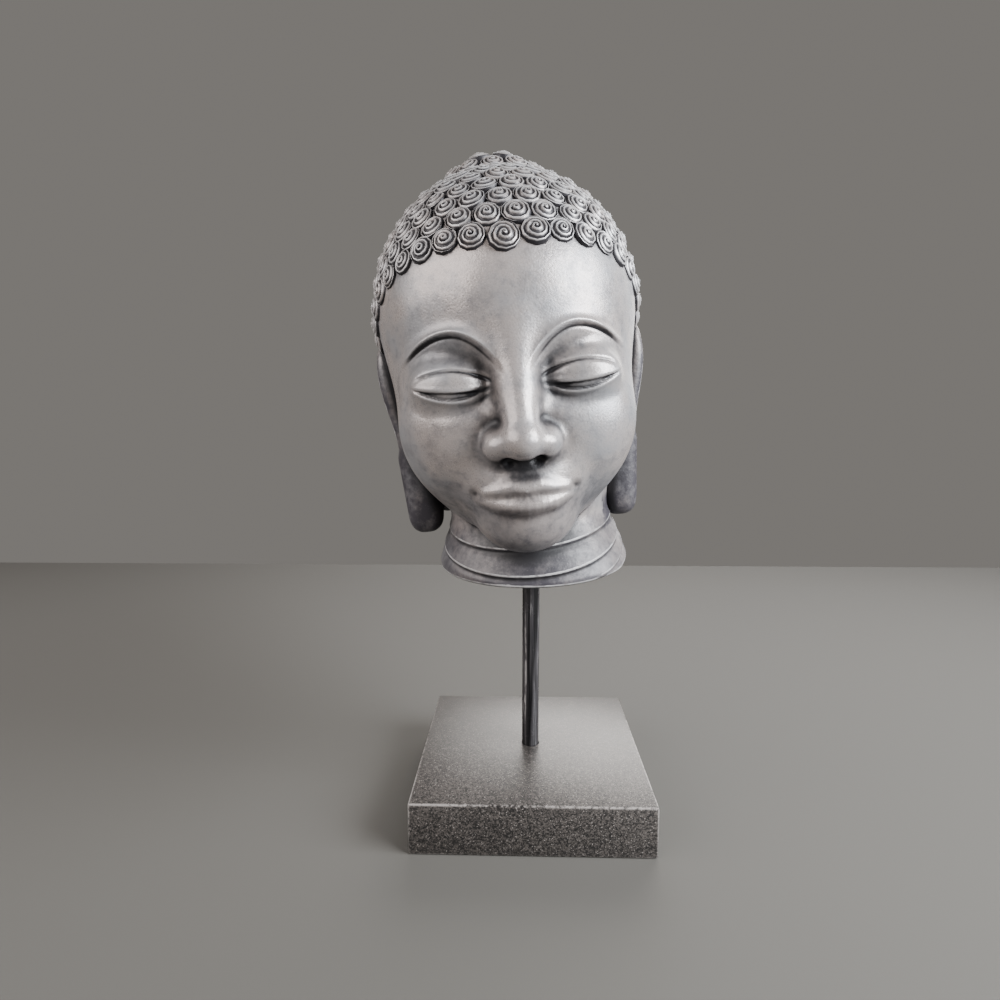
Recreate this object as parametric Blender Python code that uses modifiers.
"""A stone buddha head held over a square granite slab by a round steel rod.

Metres, +Z up. The origin is the middle of the slab's underside and the face looks along -Y.
The head is drawn in parts, 182 of them from chin to crown, in a frame of its own: +X to the
viewer's right, -Y out of the face, zero half way up. It is then leant, tipped and set down
with the middle of its cut neck over the rod.
"""

import math

import bmesh
import bpy
import numpy as np
from mathutils import Matrix, Vector
from mathutils.geometry import delaunay_2d_cdt

# Slab
BASE_SIDE = 0.120
BASE_THICKNESS = 0.026
BASE_CHAMFER = 0.0012

# Rod
ROD_DIAMETER = 0.0095
ROD_SIDES = 32
ROD_SHOWING = 0.1063
ROD_IN_BASE = 0.016
ROD_IN_HEAD = 0.042
ROD_END_BEVEL = 0.0006
ROD_FIT = 0.0003

# Head: height from chin to crown, lean to the viewer's left, tip forward, turn to the right
HEAD_HEIGHT = 0.182
HEAD_LEAN = math.radians(5.2)
HEAD_TIP = math.radians(4.0)
HEAD_TURN = math.radians(2.0)
NECK_OFFSET = 0.0010

# Canon: parts from chin to crown, the ray centre, the skull and the topknot
PARTS = 182.0
CORE = np.array((0.0, 2.0, -6.0))
SKULL_CENTRE = np.array((0.0, 9.0, 18.0))
SKULL_RADII = np.array((63.5, 72.0, 67.0))
TOPKNOT_CENTRE = np.array((0.0, 20.0, 75.0))
TOPKNOT_RADII = np.array((27.0, 25.0, 21.0))
EYE = (27.0, -49.5, -14.0)

# Lips: level and reach of the middle, level of the corner, fullness and rise beside the middle
MOUTH_HALF = 21.5
UPPER_LIP = (-58.8, 66.6, -61.4, 2.7, 1.2)
LOWER_LIP = (-66.0, 65.4, -62.4, 3.7, 0.0)

# Neck: level and slope of its cut, middle, girth, flare, and folds with their dip at the front
NECK_CUT = -111.2
NECK_CUT_SLOPE = math.tan(math.radians(3.2))
NECK_SIDE = 3.3
NECK_MIDDLE = 9.0
NECK_RADIUS = 43.5
NECK_FLARE = 0.19
NECK_FOLDS = (-106.0, -96.0, -87.0)
NECK_FOLD_DIP = 10.0
NECK_FOLD_DEPTH = 1.8
NECK_EDGE = 1.6
NECK_TOP = -70.0
NECK_HEAD = -48.0
NECK_SPOKES = 30

# Curls: spacing, reach and rise of one snail curl
CURL_PITCH = 11.6
CURL_RADIUS = 5.9
CURL_RISE = 4.0
CURL_CORNERS = 4
FIRST_CURL = 13.0
PEAK_DROP = 4.0

# Ear: outer reach at its top, half way and at its lobe, levels, and how deep it is rooted
EAR_TOP = 12.0
EAR_FOOT = -89.0
EAR_MIDDLE = 9.0
EAR_REACH_TOP = 71.0
EAR_REACH_HALF = 63.5
EAR_REACH_FOOT = 61.0
EAR_ROOT = 9.0
LOBE_ROOT = 1.5
EAR_RINGS = 16
EAR_SPOKES = 10

# Spacing of the points on the nose and lips, the eyes, the rest of the face and plain skin
NOSE_STEP = 2.6
NOSE_ROWS = 9
NOSE_TURN = 0.27
NOSE_POLARS = (1.80, 2.17)
LIP_STEP = 2.9
EYE_STEP = 3.2
EYE_TURN = 0.8
EYE_POLARS = (1.18, 1.90)
FACE_STEP = 6.8
SKIN_STEP = 11.0
SHARP_REACH = 1.5
SHARP_ANGLE = math.radians(55.0)


def soft_min(a, b, reach):
    """Union of two distances, blended over a reach."""
    share = np.clip(0.5 + 0.5 * (b - a) / reach, 0.0, 1.0)
    return b + (a - b) * share - reach * share * (1.0 - share)


def soft_max(a, b, reach):
    """Overlap of two distances, blended over a reach."""
    return -soft_min(-a, -b, reach)


def ramp(low, high, value):
    """Smooth step from 0 at low to 1 at high."""
    share = np.clip((value - low) / (high - low), 0.0, 1.0)
    return share * share * (3.0 - 2.0 * share)


def ball(points, centre, radii):
    """Distance to an ellipsoid."""
    offset = points - np.array(centre, float)
    radii = np.array(radii, float)
    near = np.linalg.norm(offset / radii, axis=1)
    slope = np.linalg.norm(offset / (radii * radii), axis=1) + 1e-9
    return near * (near - 1.0) / slope


def strand(points, knots):
    """Distance to a tapered tube through knots of x, y, z and radius."""
    nearest = None
    for start, end in zip(knots[:-1], knots[1:]):
        start_at = np.array(start[:3], float)
        along = np.array(end[:3], float) - start_at
        share = np.clip((points - start_at) @ along / (along @ along), 0.0, 1.0)
        radius = start[3] + (end[3] - start[3]) * share
        gap = np.linalg.norm(points - start_at - share[:, None] * along, axis=1) - radius
        nearest = gap if nearest is None else np.minimum(nearest, gap)
    return nearest


def skull(q):
    """Skull, back of the head down to the nape, and topknot."""
    d = ball(q, SKULL_CENTRE, SKULL_RADII)
    d = soft_min(d, ball(q, (0, -12, 18), (54, 50, 50)), 14)
    d = soft_min(d, ball(q, (0, 22, -18), (51, 44, 50)), 14)
    d = soft_min(d, strand(q, behind_ear()), 9)
    return soft_min(d, ball(q, TOPKNOT_CENTRE, TOPKNOT_RADII), 6)


def behind_ear():
    """Knots of the swelling that carries the ear from the skull down to the neck."""
    return [(SKULL_RADII[0] - 13.0, 15.0, 2.0, 9.0), (NECK_RADIUS + 3.0, 15.0, -42.0, 9.0),
            (NECK_RADIUS - 3.0, 13.0, -72.0, 8.0)]


def cheeks(q):
    """Front of the head from the brow to the chin."""
    d = ball(q, (0, -14, -28), (54.5, 49, 62))
    d = soft_min(d, ball(q, (0, -45, -76), (20, 17, 15)), 16)
    d = soft_min(d, ball(q, (27, -34, -34), (24, 24, 27)), 16)
    return soft_min(d, ball(q, (0, -46, -57), (24, 21, 18)), 10)


def lidded_eye(q, d):
    """Socket and the closed, downcast lid in it."""
    d = soft_max(d, -ball(q, (25, -72, -12), (19, 15, 12.5)), 9)
    return soft_min(d, ball(q, EYE, (18.5, 14.6, 13.5)), 4.0)


def nose(q, d):
    """Straight bridge, tip and wing."""
    bridge = strand(q, [(0, -58, 9, 4.5), (0, -62, -8, 5.4), (0, -67.8, -26, 6.4), (0, -71, -36, 7.4)])
    d = soft_min(d, bridge, 8)
    d = soft_min(d, ball(q, (0, -72.0, -39.0), (8.2, 8.4, 7.0)), 4)
    return soft_min(d, ball(q, (9.8, -64.0, -40.0), (6.8, 9.6, 6.4)), 5)


def lip(middle, forward, corner, radius, bow):
    """Knots of one lip, from the middle of the mouth to its corner."""
    knots = []
    for share in np.linspace(0.0, 1.0, 8):
        rise = bow * math.exp(-(((share - 0.27) / 0.2) ** 2))
        level = middle + rise + (corner - middle) * share**2.2
        full = radius * (1.0 - share**2.2) + 0.9
        knots.append((MOUTH_HALF * share, -forward + 6.8 * share**2, level, full))
    return knots


def mouth(q, d):
    """Closed lips, the groove over them and the fold under them."""
    d = soft_max(d, -strand(q, [(0, -74.5, -49.0, 1.5), (0, -74.0, -55.0, 2.6)]), 3)
    d = soft_min(d, strand(q, lip(*UPPER_LIP)), 2.0)
    d = soft_min(d, strand(q, lip(*LOWER_LIP)), 0.8)
    return soft_max(d, -strand(q, [(0, -70.5, -73.4, 3.2), (9, -67.5, -72.4, 2.4)]), 5)


def brow(q, d):
    """Raised brow that sweeps up from the bridge and out over the eye."""
    share = (q[:, 0] - 5.0) / 42.0
    rise = -15.5 * np.clip(1.0 - share / 0.52, 0.0, 1.2) ** 2.0
    fall = -9.0 * np.clip((share - 0.52) / 0.48, 0.0, 1.4) ** 2
    slope = np.clip(1.0 - share / 0.52, 0.0, 1.2) * 1.42
    off = (q[:, 2] - (7.5 + rise + fall)) / np.sqrt(1.0 + slope**2)
    strength = ramp(-0.06, 0.12, share) * ramp(1.12, 0.8, share)
    return d - 1.7 * strength * np.exp(-((off / 2.3) ** 2))


def head_form(points):
    """Signed distance, in parts, to the head without its curls, ears and neck."""
    q = points.copy()
    q[:, 0] = np.abs(q[:, 0])
    d = soft_min(skull(q), cheeks(q), 16)
    front = q[:, 1] < -30.0
    for carve, low, high in ((brow, -25.0, 25.0), (lidded_eye, -45.0, 20.0),
                             (nose, -60.0, 25.0), (mouth, -92.0, -40.0)):
        zone = np.flatnonzero(front & (q[:, 2] > low) & (q[:, 2] < high))
        if len(zone):
            d[zone] = carve(q[zone], d[zone])
    return d


def on_form(directions):
    """Points of the head's surface along rays from its core."""
    reach = np.full(len(directions), 135.0)
    moving = np.arange(len(directions))
    for _ in range(120):
        gap = head_form(CORE + directions[moving] * reach[moving, None])
        reach[moving] -= 0.7 * np.clip(gap, -4.0, 40.0)
        moving = moving[np.abs(gap) > 0.02]
        if not len(moving):
            break
    return CORE + directions * reach[:, None]


def unit(vectors):
    """Vectors at length 1."""
    return vectors / np.linalg.norm(vectors, axis=1, keepdims=True)


def hairline(y):
    """Level of the middle of the lowest row of curls, from the forehead round to the nape."""
    back = y + 62.0
    temple = 44.0 - 0.25 * back - 0.0045 * back**2
    return np.where(y < 5.0, temple, 7.0 - 66.0 * ramp(5.0, 40.0, y))


def peaked(route):
    """The hairline's route, let down a little over the middle of the forehead."""
    drop = PEAK_DROP * np.exp(-((route[:, 0] / FIRST_CURL) ** 2)) * (route[:, 1] < 0.0)
    return on_form(unit(route - np.outer(drop, (0.0, 0.0, 1.0)) - CORE))


def hairline_row():
    """Middles of the curls along the hairline, on both sides."""
    y = np.linspace(-70.0, 90.0, 1600)
    z = hairline(y)
    directions = []
    for side_y, side_z in zip(y, z):
        rest = 1.0 - ((side_y - SKULL_CENTRE[1]) / SKULL_RADII[1]) ** 2
        rest -= ((max(side_z, -32.0) - SKULL_CENTRE[2]) / SKULL_RADII[2]) ** 2
        if rest > 0.0:
            directions.append((SKULL_RADII[0] * math.sqrt(rest), side_y, side_z))
    route = on_form(unit(np.array(directions) - CORE))
    route = peaked(np.vstack([route[:1] * (0, 1, 1), route, route[-1:] * (0, 1, 1)]))
    run = np.concatenate([[0.0], np.cumsum(np.linalg.norm(np.diff(route, axis=0), axis=1))])
    count = round((run[-1] - FIRST_CURL) / CURL_PITCH)
    stops = np.concatenate([[0.0], np.linspace(FIRST_CURL, run[-1], count + 1)])
    row = np.stack([np.interp(stops, run, route[:, axis]) for axis in range(3)], axis=1)
    return np.vstack([row, row[1:-1] * (-1, 1, 1)])


def crown_rows():
    """Middles of the curls in rings from the topknot down over the skull."""
    axis = unit((TOPKNOT_CENTRE - SKULL_CENTRE)[None])[0]
    side = np.array((1.0, 0.0, 0.0))
    front = np.cross(axis, side)
    rows = [(TOPKNOT_CENTRE, 0.0, 1)]
    rows += [(TOPKNOT_CENTRE, angle, count) for angle, count in ((0.60, 6), (1.16, 11))]
    ring = 0.50
    while ring < 2.6:
        rows.append((SKULL_CENTRE, ring, round(2 * math.pi * 70.0 * math.sin(ring) / CURL_PITCH)))
        ring += CURL_PITCH * 0.87 / 71.0
    middles = []
    for row, (centre, polar, count) in enumerate(rows):
        for step in range(count):
            turn = 2.0 * math.pi * (step + 0.5 * (row % 2)) / count
            ray = axis * math.cos(polar) + (side * math.sin(turn) - front * math.cos(turn)) * math.sin(polar)
            middles.append(centre + 60.0 * ray if polar and centre is SKULL_CENTRE else centre + 23.0 * ray)
    return on_form(unit(np.array(middles) - CORE))


def curl_middles():
    """Middles of all the curls, evened out over the hair."""
    edge = hairline_row()
    inner = crown_rows()
    inner = inner[inner[:, 2] > hairline(inner[:, 1]) + 4.0]
    gap = np.linalg.norm(inner[:, None] - edge[None], axis=2).min(axis=1)
    inner = inner[gap > 0.72 * CURL_PITCH]
    for _ in range(40):
        away = inner[:, None] - np.vstack([inner, edge])[None]
        gap = np.linalg.norm(away, axis=2) + 1e-6
        push = np.clip(CURL_PITCH - gap, 0.0, 4.0) * (gap > 1e-3) / gap
        inner = on_form(unit(inner + 0.12 * (away * push[:, :, None]).sum(axis=1) - CORE))
    near = np.linalg.norm(inner[:, None] - np.vstack([inner, edge])[None], axis=2)
    near[near < 1e-3] = np.inf
    inner = inner[near.min(axis=1) > 0.66 * CURL_PITCH]
    return np.vstack([edge, inner])


def skin_directions(step, keep):
    """Points in rings round the head, a step apart on its surface, where keep says."""
    kept = []
    rings = round(math.pi * 75.0 / (0.87 * step))
    for ring in range(1, rings):
        polar = math.pi * ring / rings
        count = max(4, round(2.0 * math.pi * 72.0 * math.sin(polar) / step))
        turn = 2.0 * math.pi * (np.arange(count) + 0.5 * (ring % 2)) / count
        level = np.full(count, math.cos(polar))
        kept.append(np.stack([np.sin(turn) * math.sin(polar), -np.cos(turn) * math.sin(polar), level], axis=1))
    points = on_form(np.vstack(kept))
    return points[keep(points)]


def sharpness(points):
    """How sharply the head's surface bends at points of it."""
    bend = -6.0 * head_form(points)
    for axis in np.eye(3):
        bend += head_form(points + SHARP_REACH * axis) + head_form(points - SHARP_REACH * axis)
    return np.abs(bend)


def carved(step, keep):
    """Points round one eye, a step apart, the sharpest places first."""
    turn, polar = np.meshgrid(np.linspace(0.0, EYE_TURN, 56), np.linspace(*EYE_POLARS, 52))
    turn, polar = turn.ravel(), polar.ravel()
    rays = np.stack([np.sin(turn) * np.sin(polar), -np.cos(turn) * np.sin(polar), np.cos(polar)], axis=1)
    points = on_form(rays)
    aside = np.abs(points[:, 0])
    points = points[keep(points) & ((aside < 1e-6) | (aside > 0.5 * step))]
    return evened(thinned(points[np.argsort(-sharpness(points))], step), step)


def evened(points, step):
    """Points of one side after they have pushed each other to even gaps on the head's surface."""
    middle = points[:, 0] < 1e-6
    for _ in range(14):
        away = points[:, None] - points[None]
        gap = np.linalg.norm(away, axis=2) + 1e-6
        push = np.clip(1.3 * step - gap, 0.0, step) * (gap > 1e-3) / gap
        points = points + 0.10 * (away * push[:, :, None]).sum(axis=1)
        points[:, 0] = np.where(middle, 0.0, np.maximum(points[:, 0], 0.5 * step))
        points = on_form(unit(points - CORE))
    return points


def along(route, step):
    """Points a step apart along a route, from its start on the middle plane."""
    run = np.concatenate([[0.0], np.cumsum(np.linalg.norm(np.diff(route, axis=0), axis=1))])
    stops = np.linspace(0.0, run[-1], max(2, round(run[-1] / step) + 1))
    return on_form(unit(np.stack([np.interp(stops, run, route[:, axis]) for axis in range(3)], axis=1) - CORE))


def nose_rows():
    """Points of one side in rows across the nose, from its bridge down to its base."""
    turn = np.linspace(0.0, NOSE_TURN, 60)
    rows = []
    for polar in np.linspace(*NOSE_POLARS, NOSE_ROWS):
        flat = math.sin(polar)
        rays = np.stack([flat * np.sin(turn), -flat * np.cos(turn), np.full(len(turn), math.cos(polar))], axis=1)
        rows.append(along(on_form(rays), NOSE_STEP))
    return np.vstack(rows)


def lip_rows():
    """Points of one side along the lips: their upper edge, crests, parting and lower edge."""
    upper, lower = np.array(lip(*UPPER_LIP))[:, :3], np.array(lip(*LOWER_LIP))[:, :3]
    lift = (1.0 - (upper[:, :1] / MOUTH_HALF) ** 3) * (0.0, 0.0, 1.0)
    seeds = (upper + 4.2 * lift, upper, 0.5 * (upper + lower), lower, lower - 5.4 * lift)
    return np.vstack([along(on_form(unit(row - CORE)), LIP_STEP) for row in seeds])


def flat_map(points):
    """Stereographic map of rays from the core, seen from straight below."""
    rays = unit(points - CORE)
    return rays[:, :2] / (1.0 + 1e-6 + rays[:, 2:3])


def triangles_over(points, creases=()):
    """Triangles between points on the head, by Delaunay on the stereographic map, along the creases."""
    flat = [Vector(pair) for pair in flat_map(points)]
    _, _, faces, sources, _, _ = delaunay_2d_cdt(flat, [tuple(pair) for pair in creases], [], 0, 1e-9)
    source = [ids[0] if ids else -1 for ids in sources]
    found = np.array([[source[corner] for corner in face] for face in faces if len(face) == 3])
    return found[(found >= 0).all(axis=1)]


def curl_tops(middles):
    """The raised points of every curl: its middle and the shoulder round it."""
    outward, across, up = curl_frames(middles)
    points = [middles + CURL_RISE * outward]
    for step in range(CURL_CORNERS):
        turn = 2.0 * math.pi * step / CURL_CORNERS
        shoulder = across * math.cos(turn) + up * math.sin(turn)
        foot = on_form(unit(middles + 0.64 * CURL_RADIUS * shoulder - CORE))
        points.append(foot + 0.78 * CURL_RISE * outward)
    return np.vstack(points)


def curl_frames(middles):
    """Outward, sideways and upward directions at each curl."""
    outward = unit(middles - SKULL_CENTRE)
    across = unit(np.cross(outward, np.array((0.02, 0.1, 1.0))))
    return outward, across, np.cross(across, outward)


def valleys(middles):
    """Low points where three curls meet, and the creases that run between them."""
    faces = triangles_over(middles)
    a, b, c = (middles[faces[:, corner]] for corner in range(3))
    u, v = b - a, c - a
    normal = np.cross(u, v)
    area = (normal**2).sum(axis=1)[:, None]
    centre = a + (np.cross(normal, u) * (v**2).sum(axis=1)[:, None]
                  + np.cross(v, normal) * (u**2).sum(axis=1)[:, None]) / (2.0 * area)
    near = np.linalg.norm(centre - a, axis=1) < 0.95 * CURL_PITCH
    sides = {}
    kept = []
    place = {}
    for face in np.flatnonzero(near):
        gap = [np.linalg.norm(centre[face] - point) for point in kept]
        if gap and min(gap) < 0.36 * CURL_RADIUS:
            place[face] = int(np.argmin(gap))
        else:
            place[face] = len(kept)
            kept.append(centre[face])
        for i in range(3):
            side = tuple(sorted((faces[face][i], faces[face][(i + 1) % 3])))
            sides.setdefault(side, []).append(place[face])
    creases = {tuple(sorted(pair)) for pair in sides.values() if len(pair) == 2 and pair[0] != pair[1]}
    return on_form(unit(np.array(kept) - CORE)), sorted(creases)


def curl_feet(middles):
    """Points on the bare skin round the outer side of the curls along the hairline."""
    _, across, up = curl_frames(middles)
    feet = []
    for step in range(10):
        turn = math.pi * step / 5.0
        edge = across * math.cos(turn) + up * math.sin(turn)
        feet.append(on_form(unit(middles + 1.02 * CURL_RADIUS * edge - CORE)))
    feet = np.vstack(feet)
    gap = np.sort(np.linalg.norm(feet[:, None] - middles[None], axis=2), axis=1)
    return feet[(gap[:, 1] > 1.0 * CURL_RADIUS) & (gap[:, 2] > 1.7 * CURL_RADIUS)]


def thinned(points, gap, others=None):
    """Points left when none is nearer than a gap to one before it, or to the others."""
    kept = [] if others is None else list(others)
    first = len(kept)
    for point in points:
        if not kept or np.linalg.norm(np.array(kept) - point, axis=1).min() > gap:
            kept.append(point)
    return np.array(kept[first:])


def halved(points, step):
    """Points on the viewer's right, drawn onto the middle plane where they are near it."""
    half = points[points[:, 0] > -1e-6]
    near = half[:, 0] < 0.4 * step
    middle = thinned(on_form(unit((half[near] - CORE) * (0, 1, 1))), 0.6 * step)
    return np.vstack([middle, half[~near]])


def doubled(half):
    """Points of one side and their mirror image."""
    return np.vstack([half, half[half[:, 0] > 1e-6] * (-1, 1, 1)])


def head_surface():
    """All the points of the head's surface, in parts, and its triangles."""
    middles = curl_middles()
    low, creases = valleys(middles)
    feet = thinned(curl_feet(middles), 0.42 * CURL_RADIUS, low)

    def bare(points):
        gap = np.linalg.norm(points[:, None] - middles[None], axis=2).min(axis=1)
        return (gap > 1.40 * CURL_RADIUS) & (points[:, 2] < hairline(points[:, 1]))

    def on_eye(points):
        x, z = np.abs(points[:, 0]), points[:, 2]
        return (points[:, 1] < -34.0) & (x > 5.0) & (x < 46.0) & (z < 13.0) & (z > -26.0)

    def on_face(points):
        return (points[:, 1] < -30.0) & (points[:, 2] < 20.0) & ~on_eye(points)

    face = skin_directions(FACE_STEP, lambda p: bare(p) & on_face(p))
    skin = skin_directions(SKIN_STEP, lambda p: bare(p) & ~on_face(p) & ~on_eye(p))
    rows = np.vstack([nose_rows(), lip_rows()])
    half = np.vstack([rows, thinned(carved(EYE_STEP, on_eye), 0.8 * EYE_STEP, rows)])
    half = np.vstack([half, thinned(halved(face, FACE_STEP), 0.95 * EYE_STEP, half)])
    half = np.vstack([half, thinned(halved(skin, SKIN_STEP), 0.8 * FACE_STEP, half)])
    points = np.vstack([low, feet, curl_tops(middles), doubled(half)])
    return points, triangles_over(points, creases)


def loft(name, rings):
    """Closed mesh through rings that have the same number of points."""
    mesh = bmesh.new()
    loops = [[mesh.verts.new(point) for point in ring] for ring in rings]
    for low, high in zip(loops[:-1], loops[1:]):
        for i in range(len(low)):
            j = (i + 1) % len(low)
            mesh.faces.new((low[i], low[j], high[j], high[i]))
    mesh.faces.new(loops[0][::-1])
    mesh.faces.new(loops[-1])
    return finish_mesh(name, mesh)


def finish_mesh(name, mesh):
    """Object of a bmesh, with its faces turned out."""
    bmesh.ops.recalc_face_normals(mesh, faces=mesh.faces)
    data = bpy.data.meshes.new(name)
    mesh.to_mesh(data)
    mesh.free()
    return bpy.data.objects.new(name, data)


def head_shell():
    """The head and its curls, without ears and neck."""
    points, faces = head_surface()
    mesh = bmesh.new()
    corners = [mesh.verts.new(point) for point in points]
    for face in faces:
        mesh.faces.new([corners[corner] for corner in face])
    hole = [edge for edge in mesh.edges if edge.is_boundary]
    bmesh.ops.contextual_create(mesh, geom=hole)
    loose = [vert for vert in mesh.verts if not vert.link_faces]
    bmesh.ops.delete(mesh, geom=loose, context="VERTS")
    return finish_mesh("head", mesh)


def neck_girth(level):
    """Radius of the neck in parts, with its flare and its folds."""
    flare = 1.0 + NECK_FLARE * ramp(-80.0, NECK_CUT, level) + 0.06 * ramp(-84.0, -60.0, level)
    girth = NECK_RADIUS * flare
    for fold in NECK_FOLDS:
        girth -= NECK_FOLD_DEPTH * math.exp(-(((level - fold) / 1.8) ** 2))
        girth += 0.8 * math.exp(-(((level - fold - 4.5) / 3.0) ** 2))
    return girth


def neck():
    """Neck from inside the jaw down to its flat cut, in rings that dip at the front with its folds."""
    levels = [NECK_CUT, NECK_CUT + NECK_EDGE]
    for fold in NECK_FOLDS:
        levels += [fold - 2.2, fold, fold + 2.2, fold + 4.8]
    levels += [NECK_FOLDS[-1] + 9.0, NECK_TOP, NECK_HEAD]
    rings = []
    for level in levels:
        inset = NECK_EDGE if level == NECK_CUT else 0.0
        slant = NECK_CUT_SLOPE * ramp(NECK_TOP, NECK_CUT, level)
        dip = NECK_FOLD_DIP * min(1.0, (level - NECK_CUT) / (NECK_FOLDS[-1] - NECK_CUT))
        ring = []
        for spoke in range(NECK_SPOKES):
            turn = 2.0 * math.pi * spoke / NECK_SPOKES
            girth = neck_girth(level) - inset
            aside = girth * math.sin(turn)
            front = girth * math.cos(turn)
            ring.append((NECK_SIDE + aside, NECK_MIDDLE - front, level - slant * aside - dip * math.cos(turn)))
        rings.append(ring)
    return loft("neck", rings)


def ear(side):
    """Long ear on one side: rim, hollow and hanging lobe."""
    rings = []
    root_top = SKULL_RADII[0] - EAR_ROOT
    root_foot = NECK_RADIUS - LOBE_ROOT
    for share in np.linspace(0.0, 1.0, EAR_RINGS):
        roundness, tip = (2.6, 0.3) if share < 0.5 else (12.0, 0.62)
        end = tip + (1.0 - tip) * math.sqrt(max(0.0, 1.0 - abs(2.0 * share - 1.0) ** roundness))
        level = EAR_TOP + (EAR_FOOT - EAR_TOP) * share
        outer = EAR_REACH_TOP + (EAR_REACH_HALF - EAR_REACH_TOP) * ramp(0.1, 0.55, share)
        outer += (EAR_REACH_FOOT - EAR_REACH_HALF) * ramp(0.45, 1.0, share)
        inner = root_top + (root_foot - root_top) * ramp(0.1, 0.9, share)
        thick = (outer - inner) / 2.0 * end
        reach = (outer + inner) / 2.0
        wide = (16.5 - 6.0 * ramp(0.1, 0.7, share)) * end
        hollow = 0.45 * ramp(0.04, 0.2, share) * ramp(0.62, 0.42, share)
        middle = EAR_MIDDLE - 4.0 * ramp(0.0, 1.0, share)
        ring = []
        for spoke in range(EAR_SPOKES):
            turn = 2.0 * math.pi * spoke / EAR_SPOKES
            out = math.sin(turn)
            bulge = math.copysign(abs(out) ** 0.7, out)
            if out > 0.0:
                bulge *= 1.0 - hollow * (1.0 - abs(math.cos(turn)) ** 2)
            ring.append((side * (reach + thick * bulge), middle + wide * math.cos(turn), level))
        rings.append(ring)
    return loft("ear", rings)


def head_place():
    """Matrix that takes the head's own frame, in parts, to its place over the rod."""
    scale = HEAD_HEIGHT / PARTS
    turn = Matrix.Rotation(-HEAD_LEAN, 4, "Y") @ Matrix.Rotation(HEAD_TIP, 4, "X")
    turn = turn @ Matrix.Rotation(HEAD_TURN, 4, "Z")
    cut = turn @ Vector((NECK_SIDE, NECK_MIDDLE, NECK_CUT)) * scale
    foot = Vector((NECK_OFFSET, 0.0, BASE_THICKNESS + ROD_SHOWING))
    return Matrix.Translation(foot - cut) @ turn @ Matrix.Scale(scale, 4)


def material(name, colour, roughness, metallic=0.0):
    """Principled material of one piece."""
    made = bpy.data.materials.new(name)
    made.use_nodes = True
    shader = made.node_tree.nodes["Principled BSDF"]
    shader.inputs["Base Color"].default_value = (*colour, 1.0)
    shader.inputs["Roughness"].default_value = roughness
    shader.inputs["Metallic"].default_value = metallic
    return made


def cylinder(name, radius, low, high, sides):
    """Upright cylinder on the rod's axis."""
    mesh = bmesh.new()
    place = Matrix.Translation((0.0, 0.0, (low + high) / 2.0))
    bmesh.ops.create_cone(mesh, cap_ends=True, segments=sides, radius1=radius, radius2=radius,
                          depth=high - low, matrix=place)
    return finish_mesh(name, mesh)


def boolean(target, operand, operation):
    """Exact Boolean of one object on another."""
    modifier = target.modifiers.new(operand.name, "BOOLEAN")
    modifier.operation = operation
    modifier.solver = "EXACT"
    modifier.object = operand


def bevel(target, width, segments):
    """Bevel on the sharp edges of an object."""
    modifier = target.modifiers.new("edges", "BEVEL")
    modifier.width = width
    modifier.segments = segments
    modifier.limit_method = "ANGLE"
    modifier.angle_limit = math.radians(50.0)


def build():
    """Makes the three pieces and the helpers that shape them."""
    for old in list(bpy.data.objects):
        bpy.data.objects.remove(old)
    pieces = bpy.data.collections.new("buddha_head")
    cutters = bpy.data.collections.new("cutters")
    for collection in (pieces, cutters):
        bpy.context.scene.collection.children.link(collection)

    socket_radius = ROD_DIAMETER / 2.0 + ROD_FIT
    rod_foot = BASE_THICKNESS - ROD_IN_BASE
    rod_top = BASE_THICKNESS + ROD_SHOWING + ROD_IN_HEAD

    slab_mesh = bmesh.new()
    bmesh.ops.create_cube(slab_mesh, size=1.0)
    bmesh.ops.scale(slab_mesh, vec=(BASE_SIDE, BASE_SIDE, BASE_THICKNESS), verts=slab_mesh.verts)
    bmesh.ops.translate(slab_mesh, vec=(0.0, 0.0, BASE_THICKNESS / 2.0), verts=slab_mesh.verts)
    base = finish_mesh("base", slab_mesh)
    bevel(base, BASE_CHAMFER, 1)
    base_socket = cylinder("base_socket", socket_radius, rod_foot - ROD_FIT, BASE_THICKNESS + 0.01, ROD_SIDES)
    boolean(base, base_socket, "DIFFERENCE")

    rod = cylinder("rod", ROD_DIAMETER / 2.0, rod_foot, rod_top, ROD_SIDES)
    bevel(rod, ROD_END_BEVEL, 1)

    head = head_shell()
    place = head_place()
    joined = [neck(), ear(1.0), ear(-1.0)]
    for form in [head] + joined:
        form.data.transform(place)
    for form in joined:
        boolean(head, form, "UNION")
    head_socket = cylinder("head_socket", socket_radius, BASE_THICKNESS + 0.02, rod_top + ROD_FIT, ROD_SIDES)
    boolean(head, head_socket, "DIFFERENCE")

    for piece, finish in (
        (head, material("cast_stone", (0.28, 0.29, 0.31), 0.38)),
        (rod, material("blackened_steel", (0.02, 0.02, 0.022), 0.25, 0.6)),
        (base, material("granite", (0.09, 0.09, 0.09), 0.30)),
    ):
        pieces.objects.link(piece)
        piece.data.materials.append(finish)
    for helper in [base_socket, head_socket] + joined:
        cutters.objects.link(helper)
        helper.hide_render = True
        helper.display_type = "WIRE"
    for piece in (rod, head):
        piece.data.shade_smooth()
        piece.data.set_sharp_from_angle(angle=SHARP_ANGLE)


build()
